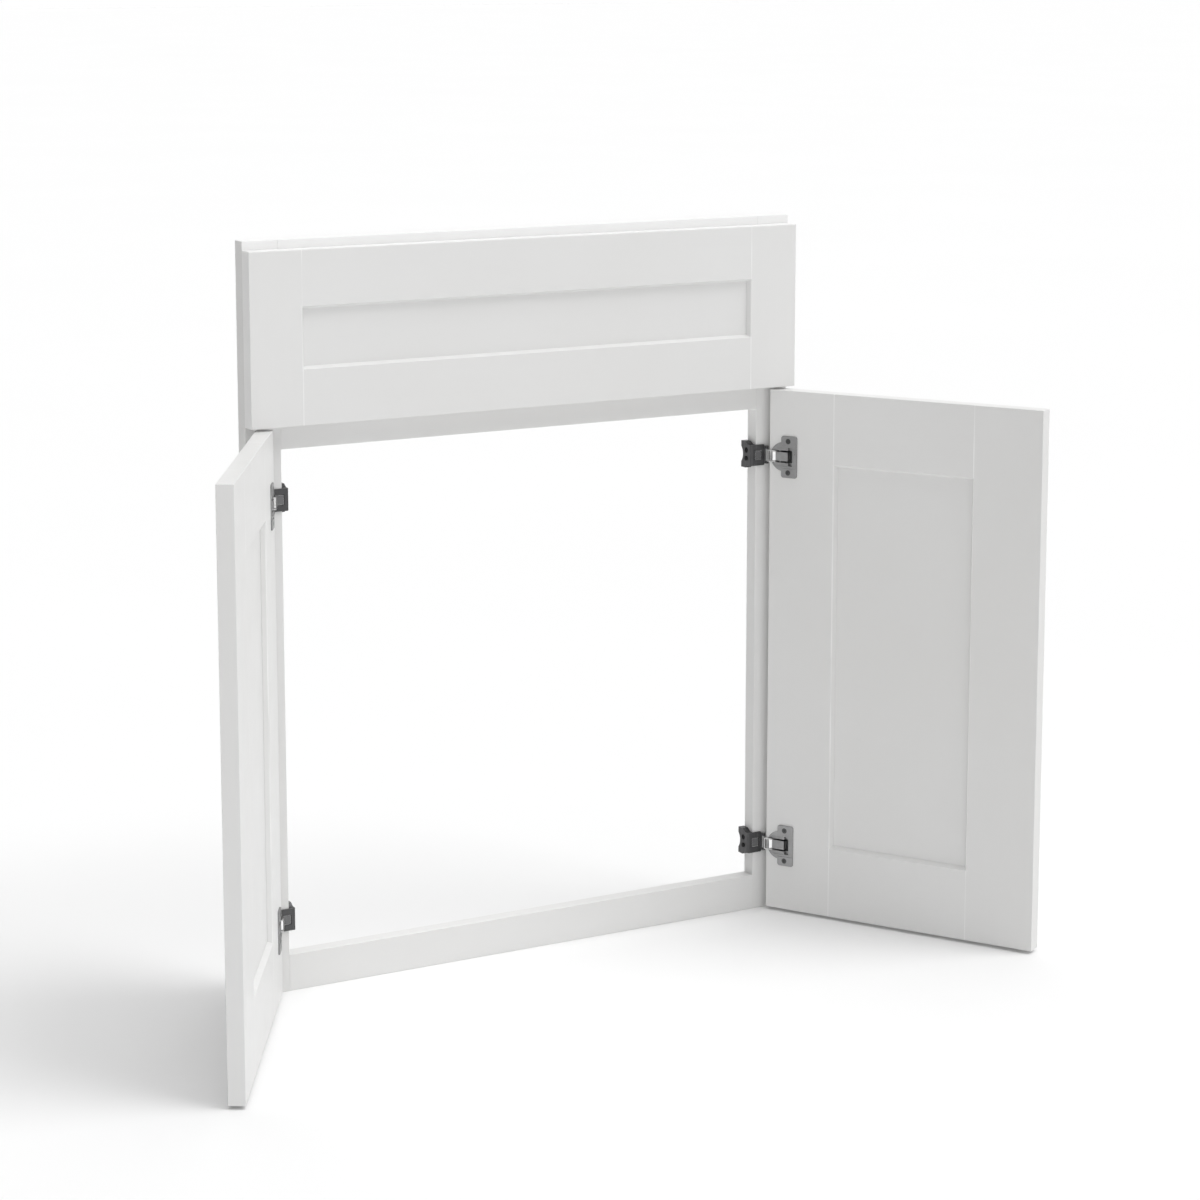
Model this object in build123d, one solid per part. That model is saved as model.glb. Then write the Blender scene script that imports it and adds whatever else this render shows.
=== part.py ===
"""Sink base cabinet front: face frame, false drawer front and two hinged doors.

Lengths are in millimetres.  X runs to the right as seen from the front, Y runs
to the back and Z runs up.  The origin is the middle of the bottom rail's
underside, half way through the frame's thickness.  Both doors stand open, as
they do at rest in this model.
"""
import math
import os

from build123d import *

# ---- face frame -----------------------------------------------------------
frame_width = 723.9
frame_height = 876.3
board_thickness = 19.05
frame_stile_width = 43.7
top_rail_width = 43.7
mid_rail_width = 43.7
bottom_rail_width = 43.7
sink_opening_height = 150.4
tenon_length = 12.0
tenon_thickness = 6.35
tenon_shoulder = 6.0
joint_gap = 0.05
edge_ease = 0.7
inner_ease = 0.35

# ---- framed panels (false drawer front and doors) -------------------------
panel_thickness = 6.35
bevel_width = 3.2
bevel_land = 0.7
groove_depth = 9.5
panel_gap = 1.0
groove_stop = 9.0

# ---- false drawer front ---------------------------------------------------
front_side_reveal = 0.0
front_top_reveal = 10.3
front_rail_overlap = 15.7
front_stile_width = 64.0
front_rail_width = 64.0
front_screw_head_radius = 4.2
front_screw_head_height = 2.6
front_screw_radius = 2.1
front_screw_bite = 12.5
front_screw_inset = 34.0

# ---- doors ----------------------------------------------------------------
door_bottom = 4.0
front_door_gap = 3.2
door_stile_width = 87.4
door_rail_width = 87.4
door_centre_gap = 3.0
door_side_reveal = 0.5
door_gap = 3.2
open_angle = 120.0
link_turn = 40.0
door_corner_gap = 0.625
frame_pin_lift = 3.409

# ---- hinge, door side -----------------------------------------------------
hinge_inset = 82.5
cup_inset = 19.9
cup_bore_radius = 17.5
cup_bore_depth = 12.9
cup_fit = 0.1
cup_wall = 1.1
cup_floor = 0.8
flange_radius = 18.2
flange_thickness = 1.0
strip_start = 16.6
strip_width = 21.4
strip_height = 52.0
strip_corner = 3.0
pad_thickness = 1.8
pad_start = 14.2
pad_ease = 0.35
cup_screw_offset = 6.3
cup_screw_spacing = 39.1
cup_screw_radius = 1.6
cup_screw_head_radius = 3.4
cup_screw_head_height = 1.7
cup_screw_length = 13.0
cross_width = 0.8
cross_depth = 1.0
door_pin_inset = 12.0
door_pin_depth = 5.0
pin_radius = 1.1
pin_fit = 0.02
pin_running_gap = 0.05
knuckle_radius = 2.0
cover_window_end = 33.0
cover_window_half = 11.9
cover_rise = 0.6
cover_fit = 0.15
cover_start = 5.2
cover_lip = 3.2
cover_lip_top = 0.6
cover_lip_rise = 1.9
tongue_root_drop = 1.0
knuckle_pocket_start = 25.8
knuckle_pocket_end = 31.4
knuckle_pocket_half = 11.3
knuckle_pocket_depth = 3.0

# ---- hinge, link ----------------------------------------------------------
link_half_width = 7.4
link_cheek = 1.6
link_thickness = 1.6
link_side_gap = 0.3
link_web_reach = 14.6
link_turn_gap = 0.4
link_rise = 2.3
link_inner_bend = 8.5
link_outer_bend = -1.0

# ---- hinge, frame side ----------------------------------------------------
sheet = 1.6
face_gap = 0.2
edge_gap = 0.1
arm_stand_off = 7.9
arm_half_height = 13.0
finger_half_height = 11.0
finger_reach = 2.5
arm_depth = 21.0
wing_half_height = 16.5
wing_start = 6.0
wing_full = 11.0
notch_depth = 4.0
notch_half_height = 9.5
arm_bend_radius = 2.4
window_over_face = 8.0
window_past_edge = 2.3
window_half_height = 6.0
base_thickness = 1.5
base_block = 4.5
base_corner = 3.0
base_front = 0.4
base_depth = 19.5
base_side_gap = 0.6
tongue_length = 7.3
tongue_half_height = 5.4
tongue_front = 1.3
base_screw_depth = 9.5
base_screw_z = 5.6
base_screw_radius = 1.7
base_screw_head_radius = 3.1
base_screw_head_height = 1.3
base_screw_bite = 16.0
access_radius = 3.5
cam_z = -4.6
cam_radius = 1.3
cam_head_radius = 2.9
cam_head_height = 0.9
cam_bite = 3.0
cam_slot_reach = 1.6
cam_slot_gap = 0.2

# ---- derived places -------------------------------------------------------
half_thickness = board_thickness / 2
front_y = -half_thickness
left_x = -frame_width / 2
mid_rail_height = frame_height - top_rail_width - sink_opening_height - mid_rail_width
front_width = frame_width - 2 * front_side_reveal
front_bottom = mid_rail_height + mid_rail_width - front_rail_overlap
front_height = frame_height - front_top_reveal - front_bottom
door_width = (frame_width - 2 * door_side_reveal - door_centre_gap) / 2
door_rail_overlap = mid_rail_width - front_rail_overlap - front_door_gap
door_height = mid_rail_height + door_rail_overlap - door_bottom
lower_hinge_z = door_bottom + hinge_inset
upper_hinge_z = door_bottom + door_height - hinge_inset
stile_edge = frame_stile_width
window_left = stile_edge - window_over_face
window_right = stile_edge + window_past_edge
tongue_left = stile_edge - tongue_length
web_outer = stile_edge + arm_stand_off
web_inner = web_outer - sheet
base_half_height = arm_half_height - sheet - base_side_gap
panel_recess = (board_thickness - panel_thickness) / 2
ALL_MIN = (Align.MIN, Align.MIN, Align.MIN)
MID = (Align.CENTER, Align.CENTER, Align.MIN)


def block(x0, x1, y0, y1, z0, z1):
    """A box between two corners."""
    return Pos(x0, y0, z0) * Box(x1 - x0, y1 - y0, z1 - z0, align=ALL_MIN)


def prism(points, z0, z1):
    """An upright prism on a polygon given as (x, y) pairs."""
    face = make_face(Polyline(*points, close=True))
    return Pos(0, 0, z0) * extrude(face, amount=z1 - z0, dir=(0, 0, 1))


def rod(x, y, z0, z1, radius):
    """An upright cylinder."""
    return Pos(x, y, z0) * Cylinder(radius, z1 - z0, align=MID)


def rod_x(x0, x1, y, z, radius):
    """A cylinder along X."""
    return Pos(x0, y, z) * Rot(0, 90, 0) * Cylinder(radius, x1 - x0, align=MID)


def rod_y(x, y0, y1, z, radius):
    """A cylinder along Y."""
    return Pos(x, y0, z) * Rot(-90, 0, 0) * Cylinder(radius, y1 - y0, align=MID)


def save(shape, name):
    """Write one sub-part."""
    export_step(shape, "parts/" + name + ".step")


def group(shapes):
    """Keep identical fasteners as separate solids in one sub-part."""
    return Compound(children=list(shapes))


def flip(shape):
    """The same piece on the other side of the cabinet."""
    return mirror(shape, about=Plane.YZ)


# ---- hinge pivots, worked out from the closed and the open door ------------
def turned(x, y, degrees):
    """Turn a plane vector about the upright axis."""
    a = math.radians(degrees)
    return x * math.cos(a) - y * math.sin(a), x * math.sin(a) + y * math.cos(a)


def hinge_pivots():
    """The frame pivot, and the open door's pivot and corner.

    The link turns about the frame pivot by link_turn while the door opens by
    open_angle, so the frame pivot is the pole of the door pivot's move from
    its closed place to its open place.  The open door's outer corner stays
    door_corner_gap off the frame, and the door stands along the frame where
    that pole is frame_pin_lift off the frame's face.
    """
    shut_x = door_side_reveal + door_pin_inset
    shut_y = -door_gap - door_pin_depth
    dx, dy = turned(door_pin_inset, -door_pin_depth, -open_angle)
    corner_y = board_thickness * math.cos(math.radians(open_angle)) - door_corner_gap
    open_y = corner_y + dy
    reach = 0.5 / math.tan(math.radians(link_turn) / 2)
    open_x = shut_x - (frame_pin_lift + (shut_y + open_y) / 2) / reach
    pole_x = (shut_x + open_x) / 2 - (open_y - shut_y) * reach
    return (pole_x, -frame_pin_lift), (open_x, open_y), (open_x - dx, corner_y)


frame_pivot, door_pivot_open, open_corner = hinge_pivots()


# ---- framed panels ---------------------------------------------------------
def sticking(width):
    """Section of a stile or rail: outer edge at 0, bevelled inner edge."""
    inner = width + bevel_width
    near = panel_recess - bevel_land
    far = board_thickness - near
    return [(0, 0), (width, 0), (inner, -near), (inner, -far), (width, -board_thickness),
            (0, -board_thickness)]


def groove(inner, z0, z1):
    """The slot for the panel in a bevelled inner edge at x = inner."""
    low = -(board_thickness - panel_recess) - joint_gap
    high = -panel_recess + joint_gap
    return block(inner - groove_depth, inner + 1, low, high, z0, z1)


def framed_panel(width, height, stile_width, rail_width):
    """Five boards: back face at y = 0, front face at y = -board_thickness."""
    blank = block(0, width, -board_thickness, 0, 0, height)
    blank = fillet(blank.edges(), edge_ease)
    inner = stile_width + bevel_width
    left = prism(sticking(stile_width), 0, height)
    left -= groove(inner, groove_stop, height - groove_stop)
    right = Pos(width, 0, 0) * mirror(left, about=Plane.YZ)
    rail = prism(sticking(rail_width), 0, width - 2 * stile_width)
    rail = rail - groove(rail_width + bevel_width, -1, width)
    # stand the section on its edge: its x becomes z, its length runs along x
    rail = Pos(stile_width, 0, 0) * Rot(0, 90, 0) * mirror(rail, about=Plane.YZ)
    rail = rail - prism(sticking(stile_width), -1, height)
    rail = rail - Pos(width, 0, 0) * mirror(prism(sticking(stile_width), -1, height), about=Plane.YZ)
    tongue_low = -(board_thickness - panel_recess)
    reach = groove_depth - joint_gap
    tongue_end = rail_width + bevel_width - groove_depth
    slot_end = groove_stop + joint_gap
    start = inner - reach
    left_tongue = block(start, stile_width + bevel_width, tongue_low, -panel_recess, slot_end, tongue_end)
    right_tongue = Pos(width, 0, 0) * mirror(left_tongue, about=Plane.YZ)
    bottom = rail + left_tongue + right_tongue
    top = Pos(0, 0, height) * mirror(bottom, about=Plane.XY)
    edge = inner - groove_depth + panel_gap
    rise = rail_width + bevel_width - groove_depth + panel_gap
    panel = block(edge, width - edge, tongue_low, -panel_recess, rise, height - rise)
    names = ("left_stile", "right_stile", "bottom_rail", "top_rail")
    boards = {name: shape & blank for name, shape in zip(names, (left, right, bottom, top))}
    boards["panel"] = panel
    return boards


# ---- face frame ------------------------------------------------------------
def eased_board(x0, x1, z0, z1, edges):
    """A frame board with small chamfers on the named long edges."""
    body = block(x0, x1, -half_thickness, half_thickness, z0, z1)
    picked = body.edges().filter_by(edges[0]).group_by(edges[1])[edges[2]]
    return chamfer(picked, inner_ease)


def mortise(x0, x1, z0, z1, gap):
    """The tenon's box, or with a gap its socket."""
    t = tenon_thickness / 2 + gap
    return block(x0, x1, -t, t, z0 - gap, z1 + gap)


rail_spans = {
    "top_rail": (frame_height - top_rail_width, frame_height),
    "mid_rail": (mid_rail_height, mid_rail_height + mid_rail_width),
    "bottom_rail": (0.0, bottom_rail_width),
}
frame_blank = fillet(
    block(left_x, -left_x, -half_thickness, half_thickness, 0, frame_height).edges(), edge_ease)
inner_x = left_x + frame_stile_width
left_stile = eased_board(left_x, inner_x, 0, frame_height, (Axis.Z, Axis.X, -1)) & frame_blank
frame_rails = {}
for name, (low, high) in rail_spans.items():
    body = block(inner_x, -inner_x, -half_thickness, half_thickness, low, high)
    long_edges = body.edges().filter_by(Axis.X).group_by(Axis.Z)
    if name != "top_rail":
        body = chamfer(long_edges[-1], inner_ease)
        long_edges = body.edges().filter_by(Axis.X).group_by(Axis.Z)
    if name != "bottom_rail":
        body = chamfer(long_edges[0], inner_ease)
    low_t = low + tenon_shoulder
    high_t = high - tenon_shoulder
    tenon = mortise(inner_x - tenon_length, inner_x + 1, low_t, high_t, 0.0)
    body = (body & frame_blank) + tenon + flip(tenon)
    frame_rails[name] = body
    left_stile -= mortise(inner_x - tenon_length - joint_gap, inner_x + 1, low_t, high_t, joint_gap)


# ---- false drawer front ----------------------------------------------------
front_boards = {}
front_raw = framed_panel(front_width, front_height, front_stile_width, front_rail_width)
front_place = Pos(-front_width / 2, front_y, front_bottom)
for name, shape in front_raw.items():
    front_boards[name] = front_place * shape

screw_x = left_x + frame_stile_width / 2
front_screws = []
for z in (front_bottom + front_screw_inset, front_bottom + front_height - front_screw_inset):
    head = rod_y(screw_x, half_thickness, half_thickness + front_screw_head_height, z,
                 front_screw_head_radius)
    head = fillet(head.edges().group_by(Axis.Y)[-1], front_screw_head_height * 0.4)
    shank = rod_y(screw_x, front_y - front_screw_bite, half_thickness, z, front_screw_radius)
    hole = rod_y(screw_x, front_y - front_screw_bite - joint_gap, half_thickness + 1, z,
                 front_screw_radius + joint_gap)
    left_stile -= hole
    front_boards["left_stile"] -= hole
    front_boards["right_stile"] -= flip(hole)
    top = half_thickness + front_screw_head_height
    for dx, dz in ((cross_width * 3, cross_width), (cross_width, cross_width * 3)):
        head -= block(screw_x - dx / 2, screw_x + dx / 2, top - cross_depth, top + 1, z - dz / 2, z + dz / 2)
    screw = head + shank
    front_screws += [screw, flip(screw)]


# ---- hinge, frame side -----------------------------------------------------
def on_frame(shape, z):
    """From the hinge's own place (frame's left edge, frame's face) to the cabinet."""
    return Pos(left_x, front_y, z) * shape


def hinge_arm():
    """Pressed arm: knuckle, front plate with a window, box web and flared wings."""
    px, py = frame_pivot
    back = -face_gap
    front = -face_gap - sheet
    # web and its two folded flanges, drawn in the YZ plane and extruded along X
    side = [(front, arm_half_height), (wing_start, arm_half_height), (wing_full, wing_half_height),
            (arm_depth, wing_half_height)]
    outline = side + [(y, -z) for y, z in reversed(side)]
    face = make_face(Polyline(*[(0, y, z) for y, z in outline], close=True))
    shell = Pos(stile_edge + edge_gap, 0, 0) * extrude(face, amount=arm_stand_off - edge_gap, dir=(1, 0, 0))
    cut = [(front - 1, arm_half_height - sheet), (wing_start, arm_half_height - sheet),
           (wing_full, wing_half_height - sheet), (arm_depth + 1, wing_half_height - sheet)]
    inside = cut + [(y, -z) for y, z in reversed(cut)]
    hollow = make_face(Polyline(*[(0, y, z) for y, z in inside], close=True))
    shell -= Pos(stile_edge - 1, 0, 0) * extrude(hollow, amount=web_inner - stile_edge + 1, dir=(1, 0, 0))
    shell -= block(stile_edge - 1, web_outer + 1, front - 1, back, -arm_half_height - 1, arm_half_height + 1)
    # front plate, from the knuckle's tangent to the web
    bend = px + finger_reach
    plate = block(bend, web_outer, front, back, -arm_half_height, arm_half_height)
    plate = fillet(plate.edges().filter_by(Axis.Y).group_by(Axis.X)[0], sheet)
    arm = shell + plate
    corner = arm.edges().filter_by(Axis.Z).filter_by_position(Axis.Y, front - joint_gap, front + joint_gap)
    arm = fillet(corner.sort_by(Axis.X)[-1], arm_bend_radius)
    mid = (front + back) / 2
    lift = py + knuckle_radius - sheet / 2
    dx, dy = bend - px, mid - lift
    run = math.hypot(dx, dy)
    nx, ny = -dy / run * sheet / 2, dx / run * sheet / 2
    strap = [(px + nx, lift + ny), (bend + nx, mid + ny), (bend + sheet, back), (bend + sheet, front),
             (bend - nx, mid - ny), (px - nx, lift - ny)]
    curl = prism(strap, -finger_half_height, finger_half_height)
    curl += rod(px, py, -finger_half_height, finger_half_height, knuckle_radius)
    gap_half = link_half_width + link_side_gap
    curl -= block(px - 3 * knuckle_radius, px, py - 3 * knuckle_radius, 1, -gap_half, gap_half)
    curl -= rod(px, py, -gap_half, gap_half, knuckle_radius + link_side_gap)
    curl -= rod(px, py, -finger_half_height - 1, finger_half_height + 1, pin_radius + pin_fit)
    arm += curl
    arm -= block(window_left, window_right, front - 1, back + 0.3, -window_half_height, window_half_height)
    # curved notch in the back edge
    radius = (notch_half_height ** 2 + notch_depth ** 2) / (2 * notch_depth)
    arm -= rod_x(web_inner - 1, web_outer + 1, arm_depth - notch_depth + radius, 0, radius)
    arm -= rod_x(web_inner - 1, web_outer + 1, base_screw_depth, base_screw_z, access_radius)
    # slot for the cam screw
    width = cam_radius + cam_slot_gap
    for shift in (-cam_slot_reach, cam_slot_reach):
        arm -= rod_x(web_inner - 1, web_outer + 1, base_screw_depth, cam_z + shift, width)
    arm -= block(web_inner - 1, web_outer + 1, base_screw_depth - width, base_screw_depth + width,
                 cam_z - cam_slot_reach, cam_z + cam_slot_reach)
    return arm


def hinge_base():
    """Block screwed to the stile's edge, with a tongue folded onto its face."""
    x0 = stile_edge + joint_gap
    x1 = x0 + base_thickness
    far = x0 + base_block
    body = block(x0, far, base_front, base_depth, -base_half_height, base_half_height)
    body = fillet(body.edges().filter_by(Axis.X), base_corner)
    neck = block(x0, x1, -tongue_front, base_front + 4 * base_thickness, -tongue_half_height,
                 tongue_half_height)
    tongue = block(tongue_left, x1, -tongue_front, -joint_gap, -tongue_half_height, tongue_half_height)
    body = body + neck + tongue
    body -= rod_x(x0 - 1, far + 1, base_screw_depth, base_screw_z, base_screw_radius + joint_gap)
    body -= rod_x(x0 - 1, far + 1, base_screw_depth, cam_z, cam_radius + joint_gap)
    return body


def base_screw(gap=0.0):
    """Wood screw into the stile's edge; with a gap, its hole."""
    seat = stile_edge + joint_gap + base_block
    shank = rod_x(stile_edge - base_screw_bite - gap, seat, base_screw_depth, base_screw_z,
                  base_screw_radius + gap)
    if gap:
        return shank
    head = rod_x(seat, seat + base_screw_head_height, base_screw_depth, base_screw_z,
                 base_screw_head_radius)
    head = fillet(head.edges().group_by(Axis.X)[-1], base_screw_head_height * 0.4)
    top = seat + base_screw_head_height
    for dy, dz in ((cross_width * 3, cross_width), (cross_width, cross_width * 3)):
        head -= block(top - cross_depth, top + 1, base_screw_depth - dy / 2, base_screw_depth + dy / 2,
                      base_screw_z - dz / 2, base_screw_z + dz / 2)
    return shank + head


def cam_screw(gap=0.0):
    """Stud through the base and the arm's slot, with a slotted head on the web."""
    shank = rod_x(stile_edge - cam_bite - gap, web_outer + face_gap, base_screw_depth, cam_z,
                  cam_radius + gap)
    if gap:
        return shank
    seat = web_outer + joint_gap
    head = rod_x(seat, seat + cam_head_height, base_screw_depth, cam_z, cam_head_radius)
    head = fillet(head.edges().group_by(Axis.X)[-1], cam_head_height * 0.3)
    slot = cross_width / 2
    head -= block(seat + cam_head_height / 2, seat + 2 * cam_head_height, base_screw_depth - slot,
                  base_screw_depth + slot, cam_z - cam_head_radius - 1, cam_z + cam_head_radius + 1)
    return shank + head


def hinge_link():
    """Goose-neck link between the two pins, in the open place.

    It is a channel: two cheeks reach the door pin, one on each side of the cup's
    tongue, and a web joins them from link_web_reach outwards.
    """
    px, py = frame_pivot
    qx, qy = door_pivot_open
    half = link_thickness / 2
    points = [(qx, qy)]
    for inset in (link_inner_bend, link_outer_bend):
        dx, dy = turned(inset, link_rise, -open_angle)
        points.append((open_corner[0] + dx, open_corner[1] + dy))
    points.append((px, py))
    body = None
    for (ax, ay), (bx, by) in zip(points[:-1], points[1:]):
        run = math.hypot(bx - ax, by - ay)
        nx, ny = -(by - ay) / run * half, (bx - ax) / run * half
        strap = [(ax + nx, ay + ny), (bx + nx, by + ny), (bx - nx, by - ny), (ax - nx, ay - ny)]
        piece = prism(strap, -link_half_width, link_half_width)
        body = piece if body is None else body + piece
    for x, y in points[1:-1]:
        body += rod(x, y, -link_half_width, link_half_width, half)
    for x, y in (points[0], points[-1]):
        body += rod(x, y, -link_half_width, link_half_width, knuckle_radius)
    for x, y in (points[0], points[-1]):
        body -= rod(x, y, -link_half_width - 1, link_half_width + 1, pin_radius + pin_running_gap)
    cheek_inside = link_half_width - link_cheek
    body -= rod(qx, qy, -cheek_inside, cheek_inside, link_web_reach)
    return body


# ---- hinge, door side (door's own place: back face y = 0, hinge edge x = 0) -
def cover_window(gap, y0, y1):
    """The opening in the cup's flange, or with a gap what stands in it."""
    inner = cup_bore_radius - cup_fit - cup_wall - gap
    half = cover_window_half - gap
    opening = block(cup_inset - inner, cover_window_end - gap, y0, y1, -half, half)
    return opening & rod_y(cup_inset, y0, y1, 0, inner)


def hinge_cup():
    """Pressed cup with a round flange, a window in the flange and a screw strip."""
    outer = cup_bore_radius - cup_fit
    inner = outer - cup_wall
    bottom = -cup_bore_depth + cup_fit
    x = cup_inset
    body = rod_y(x, bottom, 0, 0, outer)
    body += rod_y(x, 0, flange_thickness, 0, flange_radius)
    half = strip_height / 2
    strip = block(strip_start, strip_start + strip_width, 0, flange_thickness, -half, half)
    strip = fillet(strip.edges().filter_by(Axis.Y), strip_corner)
    body += strip
    for z0, z1 in ((-half, -pad_start), (pad_start, half)):
        pad = block(strip_start, strip_start + strip_width, 0, pad_thickness, z0, z1)
        outer_end = 0 if z0 < 0 else -1
        pad = fillet(pad.edges().filter_by(Axis.Y).group_by(Axis.Z)[outer_end], strip_corner)
        pad = chamfer(pad.faces().sort_by(Axis.Y)[-1].edges(), pad_ease)
        body += pad
    body -= rod_y(x, bottom + cup_floor, 0, 0, inner)
    body -= cover_window(0.0, -cup_floor, pad_thickness + 1)
    for z in (-cup_screw_spacing / 2, cup_screw_spacing / 2):
        body -= cup_screw(z, joint_gap)
    body -= rod(door_pin_inset, -door_pin_depth, -outer, outer, pin_radius + pin_fit)
    return body


def cup_screw(z, gap=0.0):
    """Countersunk screw through the strip; with a gap, its hole."""
    x = cup_inset + cup_screw_offset
    top = pad_thickness
    shank = rod_y(x, -cup_screw_length - gap, top, z, cup_screw_radius + gap)
    cone = Cone(cup_screw_radius + gap, cup_screw_head_radius + gap, cup_screw_head_height, align=MID)
    cone = Pos(x, top - cup_screw_head_height, z) * Rot(-90, 0, 0) * cone
    body = shank + cone
    if gap:
        return body
    for dx, dz in ((cross_width * 3, cross_width), (cross_width, cross_width * 3)):
        body -= block(x - dx / 2, x + dx / 2, top - cross_depth, top + 1, z - dz / 2, z + dz / 2)
    return body


def cup_housing():
    """Spring housing that fills the cup: a tongue between the link's two cheeks,
    covers beside them, and a pocket where the closed knuckle lies."""
    inner = cup_bore_radius - cup_fit - cup_wall
    floor_y = -cup_bore_depth + cup_fit + cup_floor
    body = rod_y(cup_inset, floor_y, -joint_gap, 0, inner - joint_gap)
    body += cover_window(cover_fit, floor_y, cover_rise)
    cover_in = link_half_width + link_side_gap
    tongue_half = link_half_width - link_cheek - link_side_gap
    left = cup_inset - cup_bore_radius
    channel = block(left, knuckle_pocket_end, floor_y - 1, 1, -cover_in, cover_in)
    root_y = -door_pin_depth - knuckle_radius - tongue_root_drop
    channel -= block(cover_start, door_pin_inset, floor_y - 1, root_y, -cover_in, cover_in)
    tongue = block(cover_start, knuckle_pocket_end, floor_y - 1, 1, -tongue_half, tongue_half)
    reach = link_web_reach - link_turn_gap
    tongue &= rod(door_pin_inset, -door_pin_depth, -tongue_half, tongue_half, reach)
    body -= channel - tongue
    # a raised lip across the tongue's end, sloping down to its face
    low = cover_rise - cover_lip_top
    high = cover_rise + cover_lip_rise
    lip = [(cover_start, low), (cover_start + cover_lip, low), (cover_start + cover_lip, cover_rise),
           (cover_start + cover_lip_top, high), (cover_start, high)]
    body += prism(lip, -tongue_half, tongue_half)
    body -= block(knuckle_pocket_start, knuckle_pocket_end, -knuckle_pocket_depth, 1,
                  -knuckle_pocket_half, knuckle_pocket_half)
    body -= rod(door_pin_inset, -door_pin_depth, -inner, inner, pin_radius + pin_fit)
    return body


def door_pin():
    """Pin across the cup, held in its wall."""
    outer = cup_bore_radius - cup_fit
    off = cup_inset - door_pin_inset + pin_radius
    half = math.sqrt(outer ** 2 - off ** 2) - cup_fit
    return rod(door_pin_inset, -door_pin_depth, -half, half, pin_radius)


# ---- doors -----------------------------------------------------------------
def open_door(shape):
    """Carry a piece from the left door's own place to the open door."""
    return Pos(left_x + open_corner[0], front_y + open_corner[1], 0) * Rot(0, 0, -open_angle) * shape


door_raw = framed_panel(door_width, door_height, door_stile_width, door_rail_width)
door_boards = {name: Pos(0, 0, door_bottom) * shape for name, shape in door_raw.items()}
hinge_stile = door_boards["left_stile"]
for z in (lower_hinge_z, upper_hinge_z):
    hinge_stile -= rod_y(cup_inset, -cup_bore_depth, 1, z, cup_bore_radius)
    for side in (-cup_screw_spacing / 2, cup_screw_spacing / 2):
        hinge_stile -= cup_screw(z + side, joint_gap)
door_boards["left_stile"] = hinge_stile

board_names = {
    "left_stile": "hinge_stile",
    "right_stile": "lock_stile",
    "bottom_rail": "bottom_rail",
    "top_rail": "top_rail",
    "panel": "panel",
}

os.makedirs("parts", exist_ok=True)

base_screws = []
cam_screws = []
frame_pins = []
for z in (lower_hinge_z, upper_hinge_z):
    left_stile -= on_frame(base_screw(joint_gap), z)
    left_stile -= on_frame(cam_screw(joint_gap), z)
    pin = rod(frame_pivot[0], frame_pivot[1], -finger_half_height, finger_half_height, pin_radius)
    for pieces, shape in ((base_screws, base_screw()), (cam_screws, cam_screw()), (frame_pins, pin)):
        placed = on_frame(shape, z)
        pieces += [placed, flip(placed)]

save(left_stile, "frame_left_stile")
save(flip(left_stile), "frame_right_stile")
for name, shape in frame_rails.items():
    save(shape, "frame_" + name)
for name, shape in front_boards.items():
    save(shape, "front_" + name)
save(group(front_screws), "front_screws")
save(group(base_screws), "hinge_base_screws")
save(group(cam_screws), "hinge_cam_screws")
save(group(frame_pins), "hinge_frame_pins")

for side, hand in (("left", lambda s: s), ("right", flip)):
    for name, shape in door_boards.items():
        save(hand(open_door(shape)), side + "_door_" + board_names[name])
    pins = []
    screws = []
    for level, z in (("lower", lower_hinge_z), ("upper", upper_hinge_z)):
        tag = side + "_" + level + "_"
        save(hand(on_frame(hinge_arm(), z)), tag + "arm")
        save(hand(on_frame(hinge_base(), z)), tag + "base")
        save(hand(on_frame(hinge_link(), z)), tag + "link")
        save(hand(open_door(Pos(0, 0, z) * hinge_cup())), tag + "cup")
        save(hand(open_door(Pos(0, 0, z) * cup_housing())), tag + "housing")
        pins.append(hand(open_door(Pos(0, 0, z) * door_pin())))
        for offset in (-cup_screw_spacing / 2, cup_screw_spacing / 2):
            screws.append(hand(open_door(Pos(0, 0, z) * cup_screw(offset))))
    save(group(pins), side + "_cup_pins")
    save(group(screws), side + "_cup_screws")

print("frame pivot", [round(v, 4) for v in frame_pivot])
print("door pivot open", [round(v, 4) for v in door_pivot_open])
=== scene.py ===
import math

import bpy
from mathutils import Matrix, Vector

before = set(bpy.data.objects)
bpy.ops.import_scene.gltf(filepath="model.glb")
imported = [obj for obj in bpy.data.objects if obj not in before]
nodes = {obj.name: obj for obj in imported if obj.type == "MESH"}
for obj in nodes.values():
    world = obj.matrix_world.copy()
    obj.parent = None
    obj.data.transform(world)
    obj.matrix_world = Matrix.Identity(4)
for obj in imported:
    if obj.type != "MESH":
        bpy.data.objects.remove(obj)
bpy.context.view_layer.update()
scene = bpy.context.scene

# ---------------------------------------------------------------- sizes, in metres and degrees
LEFT_DOOR_ANGLE = -120.0      # direction of a door's width at rest, seen from above
RIGHT_DOOR_ANGLE = -60.0
FRONT_STILE_WIDTH = 0.0640
DOOR_STILE_WIDTH = 0.0874
SEAM_HALF = 0.0005            # half width of a painted highlight on the joint line between a stile and a rail
LIP_START = 0.0050            # place of the painted highlight on the hinge cover's raised lip, from the door's hinge edge
LIP_END = 0.0085
LIP_HALF_HEIGHT = 0.0056
LIP_FADE = 0.0001
FRAME_FACE = -0.0095          # the face frame's front, along Y
BASE_FADE = 0.0004            # depth over which the painted shade on a hinge base sets in behind that face
TOP_LIGHT_FROM = 0.8640           # height above which painted light makes the paint whitest
TOP_LIGHT_FADE = 0.0030
SIDE_SKIN = 0.0002            # depth from the frame's outer sides that takes the painted shade
CREVICE_REACH = 0.0025        # how far the shade of a gap or corner is looked for
PAINT_EDGE = 0.0012           # width of the painted highlight band along an edge
# widths of the painted highlights along the metals' edges
METAL_EDGE = 0.0006
BASE_EDGE = 0.0012
CAST_EDGE = 0.0005

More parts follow.
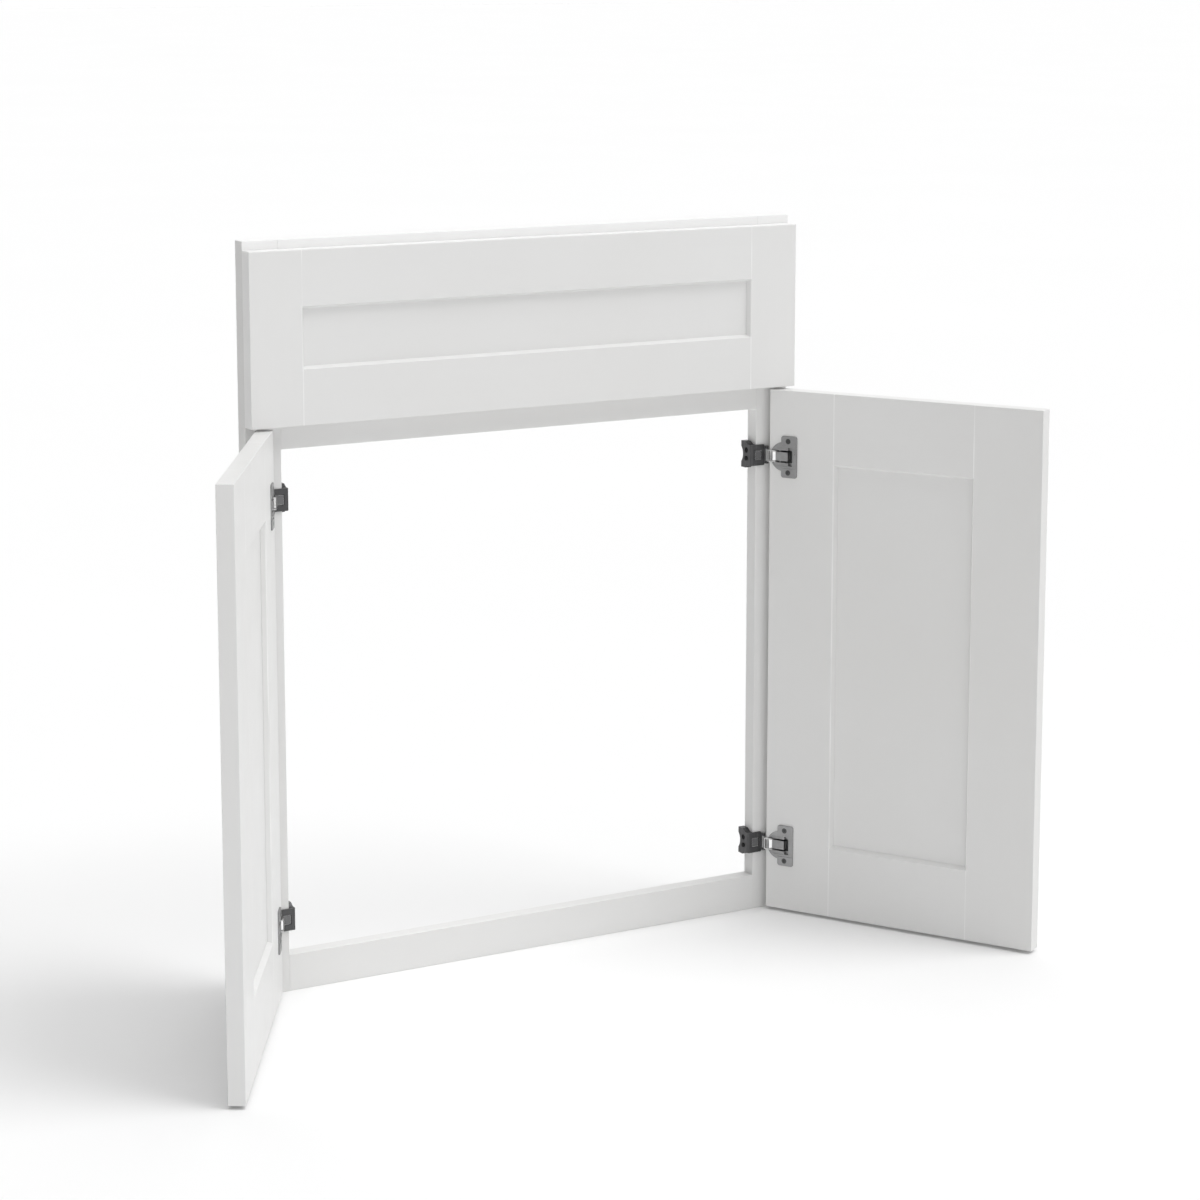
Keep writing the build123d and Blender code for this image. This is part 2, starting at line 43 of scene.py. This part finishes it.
# depths of the fine relief
GRAIN_DEPTH = 0.000028
PANEL_GRAIN_DEPTH = 0.000008
PEEL_DEPTH = 0.000022
METAL_DEPTH = 0.000006
CAST_DEPTH = 0.000012
PAPER_DEPTH = 0.00002
PORE_SHARE = 0.35             # of the wood grain's depth
GRIT_SHARE = 0.6              # of the rolled lines' depth

# noise scales, in cells per metre
PAINT_CLOUD = 2.6
PAINT_SEAM_BREAKUP = 11.0
PAINT_MIST = 34.0
PAINT_STREAK = 190.0
PAINT_PEEL = 520.0
PAINT_PORES = 900.0
METAL_CLOUD = 28.0
SCREW_CLOUD = 60.0
METAL_DRAWN = 420.0
METAL_LINES = 1500.0
METAL_GRIT = 2600.0
CAST_CLOUD = 45.0
CAST_PITS = 900.0
CAST_PEBBLE = 1900.0
PAPER_CLOUD = 0.8
PAPER_TOOTH = 300.0

CREVICE_SAMPLES = 6
EDGE_SAMPLES = 4
EVEN = (1, 1, 1)              # texture stretch along X, Y and Z
UPRIGHT_GRAIN = (1, 1, 38)
LEVEL_GRAIN = (38, 1, 1)
ROLLED_UPRIGHT = (1, 1, 30)
ROLLED_LEVEL = (30, 1, 1)
TURNED = (1, 1, 0.05)

# ---------------------------------------------------------------- camera and light
CAMERA_PLACE = (-1.71695, -3.1935, 1.195)
CAMERA_YAW = 29.67            # to the right of +Y
CAMERA_PITCH = 9.26           # below the horizon
CAMERA_LENS = 92.91           # mm
CAMERA_SENSOR = 36.0          # mm
CAMERA_SHIFT_Y = -0.12
CAMERA_NEAR = 0.05
CAMERA_FAR = 400.0
FLOOR_HALF = 60.0
KEY_BEARING = -40.0           # from +X, so at the front and to the right
KEY_STRENGTH = 0.403
KEY_ELEVATION = 55.0
KEY_SPREAD = 35.0             # angular width, for soft shadows
# each glow of the room: its bearing (None is overhead), strength and narrowness
DOME_GLOWS = (
    (None, 2.54, 8.0),
    (240.0, 0.695, 2.0),
    (300.0, 0.334, 2.0),
    (60.0, 1.02, 2.0),
)
WHITE = (1, 1, 1, 1)


# ---------------------------------------------------------------- node helpers
class Tree:
    """A material's node tree with short calls for the nodes that the finishes share."""

    def __init__(self, name):
        self.material = bpy.data.materials.new(name)
        self.material.use_nodes = True
        self.nodes = self.material.node_tree.nodes
        self.links = self.material.node_tree.links
        self.nodes.clear()
        self.shader = self.nodes.new("ShaderNodeBsdfPrincipled")
        self.output = self.nodes.new("ShaderNodeOutputMaterial")
        self.link(self.shader.outputs["BSDF"], self.output.inputs["Surface"])
        self.object_space = self.nodes.new("ShaderNodeTexCoord").outputs["Object"]

    def link(self, source, target):
        self.links.new(source, target)

    def put(self, target, value):
        if isinstance(value, bpy.types.NodeSocket):
            self.link(value, target)
        else:
            target.default_value = value

    def along(self, angle, stretch):
        """Object space turned to a member's own axes and stretched along them."""
        node = self.nodes.new("ShaderNodeMapping")
        node.vector_type = "TEXTURE"
        node.inputs["Rotation"].default_value = (0, 0, math.radians(angle))
        node.inputs["Scale"].default_value = stretch
        self.link(self.object_space, node.inputs["Vector"])
        return node.outputs["Vector"]

    def axis(self, vector, index):
        node = self.nodes.new("ShaderNodeSeparateXYZ")
        self.link(vector, node.inputs["Vector"])
        return node.outputs[index]

    def noise(self, vector, scale, detail=2.0, rough=0.5, distortion=0.0):
        node = self.nodes.new("ShaderNodeTexNoise")
        self.link(vector, node.inputs["Vector"])
        node.inputs["Scale"].default_value = scale
        node.inputs["Detail"].default_value = detail
        node.inputs["Roughness"].default_value = rough
        node.inputs["Distortion"].default_value = distortion
        return node.outputs["Fac"]

    def cells(self, vector, scale):
        """Distance to the nearest of many scattered points."""
        node = self.nodes.new("ShaderNodeTexVoronoi")
        self.link(vector, node.inputs["Vector"])
        node.inputs["Scale"].default_value = scale
        return node.outputs["Distance"]

    def spread(self, value, low, high, start=0.3, end=0.7):
        """Maps start..end of value to low..high, clamped."""
        node = self.nodes.new("ShaderNodeMapRange")
        self.put(node.inputs["Value"], value)
        node.inputs["From Min"].default_value = start
        node.inputs["From Max"].default_value = end
        node.inputs["To Min"].default_value = low
        node.inputs["To Max"].default_value = high
        return node.outputs["Result"]

    def band(self, value, low, high, soft):
        """1 between low and high, fading to 0 over soft on both sides."""
        rise = self.spread(value, 0.0, 1.0, low - soft, low)
        fall = self.spread(value, 1.0, 0.0, high, high + soft)
        return self.math("MINIMUM", rise, fall)

    def math(self, operation, *values):
        node = self.nodes.new("ShaderNodeMath")
        node.operation = operation
        for target, value in zip(node.inputs, values):
            self.put(target, value)
        return node.outputs["Value"]

    def mix(self, share, first, second):
        node = self.nodes.new("ShaderNodeMix")
        node.data_type = "RGBA"
        self.put(node.inputs["Factor"], share)
        self.put(node.inputs[6], first)
        self.put(node.inputs[7], second)
        return node.outputs[2]

    def bump(self, height, distance, normal=None):
        node = self.nodes.new("ShaderNodeBump")
        node.inputs["Distance"].default_value = distance
        self.link(height, node.inputs["Height"])
        if normal is not None:
            self.link(normal, node.inputs["Normal"])
        return node.outputs["Normal"]

    def crevice(self):
        """1 in the open, falling towards 0 in a narrow gap or an inside corner."""
        node = self.nodes.new("ShaderNodeAmbientOcclusion")
        node.samples = CREVICE_SAMPLES
        node.inputs["Distance"].default_value = CREVICE_REACH
        return node.outputs["AO"]

    def edge(self, radius):
        """0 on a flat face, rising towards 1 at an outside or inside edge."""
        rounded = self.nodes.new("ShaderNodeBevel")
        rounded.samples = EDGE_SAMPLES
        rounded.inputs["Radius"].default_value = radius
        flat = self.nodes.new("ShaderNodeNewGeometry").outputs["Normal"]
        dot = self.nodes.new("ShaderNodeVectorMath")
        dot.operation = "DOT_PRODUCT"
        self.link(rounded.outputs["Normal"], dot.inputs[0])
        self.link(flat, dot.inputs[1])
        return self.math("SUBTRACT", 1.0, dot.outputs["Value"])

    def finish(self, colour, roughness, normal, metallic=0.0, coat=0.0, coat_roughness=0.2):
        self.put(self.shader.inputs["Base Color"], colour)
        self.put(self.shader.inputs["Roughness"], roughness)
        self.link(normal, self.shader.inputs["Normal"])
        self.shader.inputs["Metallic"].default_value = metallic
        self.shader.inputs["Coat Weight"].default_value = coat
        self.shader.inputs["Coat Roughness"].default_value = coat_roughness
        return self.material


# ---------------------------------------------------------------- places on the members
def across(names, angle):
    """Least and greatest place of some nodes along a direction seen from above."""
    turn = math.radians(angle)
    corners = [v.co for name in names for v in nodes[name].data.vertices]
    places = [co.x * math.cos(turn) + co.y * math.sin(turn) for co in corners]
    return min(places), max(places)


def seams(first_stile, second_stile, angle, width):
    """Where the two stiles meet the rails, along the panel's own width."""
    low, high = across((first_stile, second_stile), angle)
    return low + width, high - width


# ---------------------------------------------------------------- paint
PAINT = (0.800, 0.800, 0.796, 1)
PAINT_THIN = (0.775, 0.772, 0.762, 1)
# lighter tone for the painted highlight along the edges
PAINTED_EDGE_HIGHLIGHT = (0.832, 0.832, 0.829, 1)
# the last three are tones chosen to match the photo's light and shade
PAINTED_SHADE = (0.690, 0.687, 0.678, 1)
PAINTED_SEAM_HIGHLIGHT = (0.940, 0.940, 0.935, 1)
PAINTED_TOP_LIGHT = (0.915, 0.915, 0.912, 1)
PAINT_GLOSS = 0.3
PAINT_COAT = 0.05
PAINT_COAT_ROUGHNESS = 0.32


def paint(name, angle, upright, fibre_depth, joints=(), sides=None):
    """Sprayed satin paint over a member whose grain runs upright or along its width.

    Joints are the places of the painted highlights on the joint lines along that width. Sides
    is the distance of the frame's outer sides from the middle, where painted shade darkens the
    paint.
    """
    t = Tree(name)
    grain_space = t.along(angle, UPRIGHT_GRAIN if upright else LEVEL_GRAIN)
    plain_space = t.along(angle, EVEN)
    cloud = t.noise(plain_space, PAINT_CLOUD, 3.0)
    streak = t.noise(grain_space, PAINT_STREAK, 4.0, 0.6, 0.25)
    pores = t.noise(grain_space, PAINT_PORES, 2.0, 0.55)
    peel = t.noise(plain_space, PAINT_PEEL, 1.0, 0.4)
    mist = t.noise(plain_space, PAINT_MIST)

    colour = t.mix(t.spread(cloud, 0.0, 1.0), PAINT_THIN, PAINT)
    colour = t.mix(t.spread(streak, 0.0, 0.14, 0.45, 0.75), colour, PAINT_THIN)
    # painted light: the paint turns whiter towards the top
    top_light = t.spread(t.axis(plain_space, 2), 0.0, 1.0, TOP_LIGHT_FROM, TOP_LIGHT_FROM + TOP_LIGHT_FADE)
    colour = t.mix(top_light, colour, PAINTED_TOP_LIGHT)
    # painted highlight along the edges
    edge_highlight = t.spread(t.edge(PAINT_EDGE), 0.0, 0.8, 0.02, 0.35)
    colour = t.mix(edge_highlight, colour, PAINTED_EDGE_HIGHLIGHT)
    # painted shade: the paint darkens in gaps and inside corners
    shaded = t.spread(t.crevice(), 0.5, 0.0, 0.1, 0.6)
    colour = t.mix(shaded, colour, PAINTED_SHADE)
    # painted shade on the frame's outer sides
    if sides is not None:
        reach = t.math("ABSOLUTE", t.axis(plain_space, 0))
        side_shade = t.spread(reach, 0.0, 0.9, sides - SIDE_SKIN, sides - SIDE_SKIN / 2)
        colour = t.mix(side_shade, colour, PAINTED_SHADE)
    # noise that breaks the painted highlight on the joint lines into dashes
    seam_breakup = t.spread(t.noise(plain_space, PAINT_SEAM_BREAKUP), 0.1, 1.0, 0.35, 0.65)
    # painted highlight along each joint line between a stile and a rail
    for joint in joints:
        along_width = t.axis(plain_space, 0)
        seam_highlight = t.band(along_width, joint - SEAM_HALF, joint + SEAM_HALF, SEAM_HALF / 2)
        colour = t.mix(t.math("MULTIPLY", seam_highlight, seam_breakup), colour, PAINTED_SEAM_HIGHLIGHT)

    roughness = t.math("ADD", t.spread(mist, 0.36, 0.46), t.spread(streak, -0.02, 0.03))
    normal = t.bump(streak, fibre_depth)
    normal = t.bump(pores, fibre_depth * PORE_SHARE, normal)
    normal = t.bump(peel, PEEL_DEPTH, normal)
    t.shader.inputs["Specular IOR Level"].default_value = PAINT_GLOSS
    return t.finish(colour, roughness, normal, coat=PAINT_COAT, coat_roughness=PAINT_COAT_ROUGHNESS)


# ---------------------------------------------------------------- metals
SHADE_SHARE = 0.35                   # share of the darker tone for the painted shade in gaps and behind the arms
# how much brighter the painted edge highlight is than the lighter tone
CAST_EDGE_SHINE = 1.35
LIP_ROUGHNESS = 0.35          # of the cast skin's roughness
HOUSING_DARK = (0.27, 0.27, 0.272, 1)
HOUSING_LIGHT = (0.37, 0.37, 0.372, 1)
HOUSING_LIP_HIGHLIGHT = (0.93, 0.93, 0.93, 1)


def brighter(colour, factor):
    return tuple(min(1.0, c * factor) for c in colour[:3]) + (1,)


def plated(name, dark, light, rough_low, rough_high, lay, shine=1.6, cloud_scale=METAL_CLOUD,
           rim=METAL_EDGE, hidden=False):
    """Plated pressed steel: rolled lines, a cloudy plating, fine drawn marks, painted highlights on
    the edges.

    Shine is how much brighter the painted edge highlights and the drawn marks are than the lighter
    tone.
    """
    t = Tree(name)
    rolled = t.along(0, lay)
    plain = t.along(0, EVEN)
    cloud = t.noise(plain, cloud_scale, 3.0, 0.6)
    lines = t.noise(rolled, METAL_LINES, 3.0, 0.6)
    grit = t.noise(plain, METAL_GRIT)
    drawn = t.noise(rolled, METAL_DRAWN, 2.0, 0.7)

    colour = t.mix(t.spread(cloud, 0.0, 1.0), dark, light)
    bright = brighter(light, shine)
    # painted highlight along the edges
    colour = t.mix(t.spread(t.edge(rim), 0.0, 0.7, 0.03, 0.4), colour, bright)
    colour = t.mix(t.spread(drawn, 0.0, 0.16, 0.58, 0.72), colour, bright)
    # painted shade in gaps
    shade_tone = brighter(dark, SHADE_SHARE)
    colour = t.mix(t.spread(t.crevice(), 0.75, 0.0, 0.1, 0.8), colour, shade_tone)
    if hidden:
        # behind the arm, where only its holes show it, the plate is in the dark
        behind_arm_shade = t.spread(t.axis(plain, 1), 0.0, 0.92, FRAME_FACE, FRAME_FACE + BASE_FADE)
        colour = t.mix(behind_arm_shade, colour, shade_tone)

    roughness = t.math("ADD", t.spread(cloud, rough_low, rough_high), t.spread(lines, -0.04, 0.05))
    normal = t.bump(lines, METAL_DEPTH)
    normal = t.bump(grit, METAL_DEPTH * GRIT_SHARE, normal)
    return t.finish(colour, roughness, normal, metallic=1.0)


def cast_zinc(name, angle, edge, level):
    """Die-cast cover with a fine pebbled skin, painted highlights on its edges and a polished lip
    with a painted highlight between the link's cheeks.

    Edge is the place of the door's hinge edge along its width, level the cover's mid height.
    """
    t = Tree(name)
    plain = t.along(angle, EVEN)
    cloud = t.noise(plain, CAST_CLOUD, 3.0, 0.6)
    pebble = t.noise(plain, CAST_PEBBLE, 2.0, 0.6)
    pits = t.cells(plain, CAST_PITS)

    colour = t.mix(t.spread(cloud, 0.0, 1.0), HOUSING_DARK, HOUSING_LIGHT)
    colour = t.mix(t.spread(pits, 0.4, 0.0, 0.05, 0.35), colour, HOUSING_DARK)
    # painted highlight along the edges
    bright = brighter(HOUSING_LIGHT, CAST_EDGE_SHINE)
    colour = t.mix(t.spread(t.edge(CAST_EDGE), 0.0, 0.6, 0.03, 0.4), colour, bright)
    # painted highlight on the polished lip, which is also smoother
    wide = t.band(t.axis(plain, 0), edge + LIP_START, edge + LIP_END, LIP_FADE)
    tall = t.band(t.axis(plain, 2), level - LIP_HALF_HEIGHT, level + LIP_HALF_HEIGHT, LIP_FADE)
    lip = t.math("MULTIPLY", wide, tall)
    colour = t.mix(lip, colour, HOUSING_LIP_HIGHLIGHT)

    roughness = t.spread(pebble, 0.34, 0.52)
    roughness = t.math("MULTIPLY", roughness, t.spread(lip, 1.0, LIP_ROUGHNESS, 0.0, 1.0))
    normal = t.bump(pebble, CAST_DEPTH)
    return t.finish(colour, roughness, normal, metallic=1.0)


# each: material name, darker tone, lighter tone, least and greatest roughness, lay of the lines
FINISHES = {
    "arm": plated(
        "dark_nickel_arm", (0.078, 0.078, 0.080, 1), (0.112, 0.112, 0.114, 1), 0.34, 0.46,
        ROLLED_UPRIGHT, shine=2.6,
    ),
    "cup": plated(
        "nickel_cup", (0.28, 0.28, 0.282, 1), (0.37, 0.37, 0.373, 1), 0.28, 0.40,
        ROLLED_UPRIGHT, shine=1.4,
    ),
    "base": plated(
        "nickel_base", (0.13, 0.13, 0.133, 1), (0.20, 0.20, 0.203, 1), 0.34, 0.48,
        ROLLED_LEVEL, shine=4.5, rim=BASE_EDGE, hidden=True,
    ),
    "link": plated(
        "bright_link", (0.50, 0.50, 0.50, 1), (0.62, 0.62, 0.617, 1), 0.24, 0.34,
        ROLLED_UPRIGHT, shine=1.3,
    ),
    "pin": plated(
        "ground_pin", (0.45, 0.45, 0.45, 1), (0.60, 0.60, 0.595, 1), 0.22, 0.32,
        TURNED,
    ),
    "screw": plated(
        "zinc_screw", (0.065, 0.065, 0.067, 1), (0.115, 0.115, 0.117, 1), 0.28, 0.42,
        EVEN, cloud_scale=SCREW_CLOUD,
    ),
    # screws that sit in shaded holes and behind the arm, darkened to near black as painted shade
    "sunk_screw": plated(
        "screw_in_painted_shade", (0.012, 0.012, 0.012, 1), (0.03, 0.03, 0.03, 1), 0.42, 0.55,
        EVEN, cloud_scale=SCREW_CLOUD,
    ),
}
SUNK_SCREWS = ("hinge_base_screws", "hinge_cam_screws")

# ---------------------------------------------------------------- a finish for every piece
DOOR_ANGLES = {"left_door": LEFT_DOOR_ANGLE, "right_door": RIGHT_DOOR_ANGLE}
FRONT_SEAMS = seams("front_left_stile", "front_right_stile", 0, FRONT_STILE_WIDTH)
FRAME_SIDE = across(("frame_right_stile",), 0)[1]
PAINTS = {}
for upright, way in ((True, "upright"), (False, "level")):
    PAINTS["frame", way] = paint("paint_frame_" + way, 0, upright, GRAIN_DEPTH, sides=FRAME_SIDE)
    PAINTS["front", way] = paint("paint_front_" + way, 0, upright, GRAIN_DEPTH, FRONT_SEAMS)
    for door, angle in DOOR_ANGLES.items():
        places = seams(door + "_hinge_stile", door + "_lock_stile", angle, DOOR_STILE_WIDTH)
        PAINTS[door, way] = paint("paint_" + door + "_" + way, angle, upright, GRAIN_DEPTH, places)
PAINTS["front", "panel"] = paint("paint_front_panel", 0, False, PANEL_GRAIN_DEPTH)
for door, angle in DOOR_ANGLES.items():
    PAINTS[door, "panel"] = paint("paint_" + door + "_panel", angle, True, PANEL_GRAIN_DEPTH)


def housing_finish(name, piece):
    """A cast finish whose polished lip, with its painted highlight, sits at this cover's own place
    and height.
    """
    door = name.split("_")[0] + "_door"
    angle = DOOR_ANGLES[door]
    edge = across((door + "_hinge_stile",), angle)[0]
    heights = [v.co.z for v in piece.data.vertices]
    level = (min(heights) + max(heights)) / 2
    return cast_zinc("cast_" + name, angle, edge, level)


def finish_of(name, piece):
    """The finish that a node's name calls for."""
    group = next((g for g in ("left_door", "right_door", "front") if name.startswith(g)), "frame")
    kind = name.rsplit("_", 1)[1]
    if kind == "panel":
        return PAINTS[group, "panel"]
    if kind in ("stile", "rail"):
        return PAINTS[group, "upright" if kind == "stile" else "level"]
    if kind == "housing":
        return housing_finish(name, piece)
    if name in SUNK_SCREWS:
        return FINISHES["sunk_screw"]
    return FINISHES[kind.rstrip("s")]


for name, piece in nodes.items():
    for place in piece.material_slots:
        place.material = finish_of(name, piece)


# ---------------------------------------------------------------- studio
PAPER_DARK = (0.916, 0.916, 0.916, 1)
PAPER_LIGHT = (0.922, 0.922, 0.922, 1)
PAPER_ROUGHNESS = 0.9
PAPER_GLOSS = 0.1


def pale_floor():
    half = FLOOR_HALF
    mesh = bpy.data.meshes.new("studio_floor")
    corners = [(-half, -half, 0), (half, -half, 0), (half, half, 0), (-half, half, 0)]
    mesh.from_pydata(corners, [], [(0, 1, 2, 3)])
    floor = bpy.data.objects.new("studio_floor", mesh)
    scene.collection.objects.link(floor)
    t = Tree("studio_paper")
    plain = t.along(0, EVEN)
    tone = t.mix(t.spread(t.noise(plain, PAPER_CLOUD), 0.0, 1.0), PAPER_DARK, PAPER_LIGHT)
    normal = t.bump(t.noise(plain, PAPER_TOOTH), PAPER_DEPTH)
    mesh.materials.append(t.finish(tone, PAPER_ROUGHNESS, normal))
    t.shader.inputs["Specular IOR Level"].default_value = PAPER_GLOSS


def heading(bearing, elevation):
    """The direction towards a light, as a unit vector."""
    flat = math.cos(math.radians(elevation))
    turn = math.radians(bearing)
    return Vector((math.cos(turn) * flat, math.sin(turn) * flat, math.sin(math.radians(elevation))))


def key_light():
    """A broad soft light at the front right, which throws the soft shadow to the left."""
    light = bpy.data.lights.new("key", "SUN")
    light.energy = math.pi * KEY_STRENGTH
    light.angle = math.radians(KEY_SPREAD)
    lamp = bpy.data.objects.new("key", light)
    lamp.rotation_euler = heading(KEY_BEARING, KEY_ELEVATION).to_track_quat("Z", "Y").to_euler()
    scene.collection.objects.link(lamp)


def studio_dome():
    """A pale room of broad glows, with a white backdrop behind the object."""
    world = bpy.data.worlds.new("studio_room")
    world.use_nodes = True
    scene.world = world
    tree = world.node_tree
    tree.nodes.clear()

    def calc(operation, value, *numbers):
        node = tree.nodes.new("ShaderNodeMath")
        node.operation = operation
        tree.links.new(value, node.inputs[0])
        for target, number in zip(node.inputs[1:], numbers):
            target.default_value = number
        return node

    def white(strength=None):
        node = tree.nodes.new("ShaderNodeBackground")
        node.inputs["Color"].default_value = WHITE
        if strength is not None:
            tree.links.new(strength, node.inputs["Strength"])
        return node.outputs["Background"]

    place = tree.nodes.new("ShaderNodeTexCoord").outputs["Generated"]
    total = None
    for bearing, strength, narrowness in DOME_GLOWS:
        dot = tree.nodes.new("ShaderNodeVectorMath")
        dot.operation = "DOT_PRODUCT"
        dot.inputs[1].default_value = (0, 0, 1) if bearing is None else heading(bearing, 0.0)
        tree.links.new(place, dot.inputs[0])
        facing = calc("MAXIMUM", dot.outputs["Value"], 0.0)
        lobe = calc("POWER", facing.outputs["Value"], narrowness)
        add = calc("MULTIPLY_ADD", lobe.outputs["Value"], strength, 0.0)
        if total is not None:
            tree.links.new(total, add.inputs[2])
        total = add.outputs["Value"]

    both = tree.nodes.new("ShaderNodeMixShader")
    seen = tree.nodes.new("ShaderNodeLightPath").outputs["Is Camera Ray"]
    tree.links.new(seen, both.inputs["Fac"])
    tree.links.new(white(total), both.inputs[1])
    tree.links.new(white(), both.inputs[2])
    output = tree.nodes.new("ShaderNodeOutputWorld")
    tree.links.new(both.outputs["Shader"], output.inputs["Surface"])


def studio_camera():
    data = bpy.data.cameras.new("camera")
    data.lens = CAMERA_LENS
    data.sensor_width = CAMERA_SENSOR
    data.shift_y = CAMERA_SHIFT_Y
    data.clip_start = CAMERA_NEAR
    data.clip_end = CAMERA_FAR
    camera = bpy.data.objects.new("camera", data)
    camera.location = CAMERA_PLACE
    camera.rotation_euler = (math.radians(90.0 - CAMERA_PITCH), 0.0, math.radians(-CAMERA_YAW))
    scene.collection.objects.link(camera)
    scene.camera = camera


pale_floor()
key_light()
studio_dome()
studio_camera()
scene.view_settings.view_transform = "Standard"
